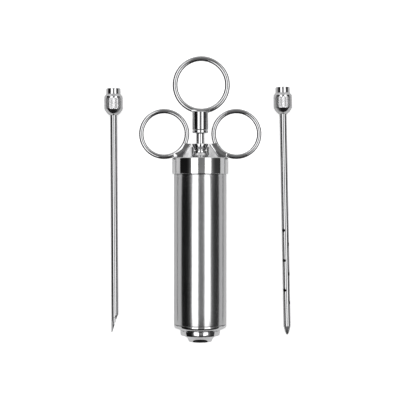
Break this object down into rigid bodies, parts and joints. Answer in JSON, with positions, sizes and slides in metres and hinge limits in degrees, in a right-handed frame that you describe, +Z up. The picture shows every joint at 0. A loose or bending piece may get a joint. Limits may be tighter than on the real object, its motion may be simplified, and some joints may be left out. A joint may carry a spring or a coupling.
{
  "type": "meat injector",
  "caption": "Ring-grip marinade syringe with screw cap, piston plunger and two loose screw-on needles, one bevelled and one perforated, laid flat side by side.",
  "frame": {"origin": "middle of the laid-out set's underside, on the table", "axes": "+Y along the set from the syringe's nose towards its thumb ring, +X across it from the bevelled needle to the perforated one, +Z up from the table"},
  "size_m": [0.1158, 0.173, 0.034],
  "materials": {
    "polished_steel": "mirror-polished stainless steel",
    "satin_steel": "satin stainless steel, brushed lengthwise",
    "silicone": "translucent white silicone",
    "nylon": "smooth off-white nylon"
  },
  "bodies": {
    "barrel": {"barrel_tube": "satin_steel", "nose_cap": "polished_steel", "nose_o_ring": "silicone", "needle_washer": "silicone"},
    "cap_seal": {"cap_gasket": "silicone"},
    "top_cap": {"cap_shell": "polished_steel", "rod_gland": "polished_steel", "rod_bush": "nylon", "rod_o_ring": "silicone", "left_finger_ring": "polished_steel", "right_finger_ring": "polished_steel"},
    "piston_seals": {"piston_o_ring_front": "silicone", "piston_o_ring_rear": "silicone"},
    "plunger": {"plunger_rod": "polished_steel", "thumb_ring": "polished_steel", "stem_lock_ring": "polished_steel", "piston_body": "nylon", "piston_front_washer": "polished_steel", "piston_rear_washer": "polished_steel", "piston_nut": "polished_steel"},
    "left_needle": {"left_needle_hub": "polished_steel", "left_needle_tube": "polished_steel"},
    "right_needle": {"right_needle_hub": "polished_steel", "right_needle_tube": "polished_steel", "right_needle_point": "satin_steel"}
  },
  "joints": [
    {"name": "cap_rise", "type": "slide", "parent": "barrel", "child": "cap_seal", "axis": [0, 0.9999, 0.0121], "range_m": [0, 0.006]},
    {"name": "cap_turn", "type": "hinge", "parent": "cap_seal", "child": "top_cap", "pos_m": [0.00125, 0.02009, 0.01707], "axis": [0, 0.9999, 0.0121], "range_deg": [0, 900]},
    {"name": "plunger_slide", "type": "slide", "parent": "top_cap", "child": "piston_seals", "axis": [0, 0.9999, 0.0121], "range_m": [-0.003, 0.078]},
    {"name": "plunger_spin", "type": "hinge", "parent": "piston_seals", "child": "plunger", "pos_m": [0.00125, -0.0639, 0.01605], "axis": [0, 0.9999, 0.0121], "continuous": true},
    {"name": "left_needle_lift", "type": "slide", "parent": "barrel", "child": "left_needle", "axis": [0, 0, 1], "range_m": [0, 0.06]},
    {"name": "right_needle_lift", "type": "slide", "parent": "barrel", "child": "right_needle", "axis": [0, 0, 1], "range_m": [0, 0.06]}
  ],
  "couplings": [
    {"joint": "cap_rise", "follows": "cap_turn", "m_per_rad": 0.00038197}
  ]
}
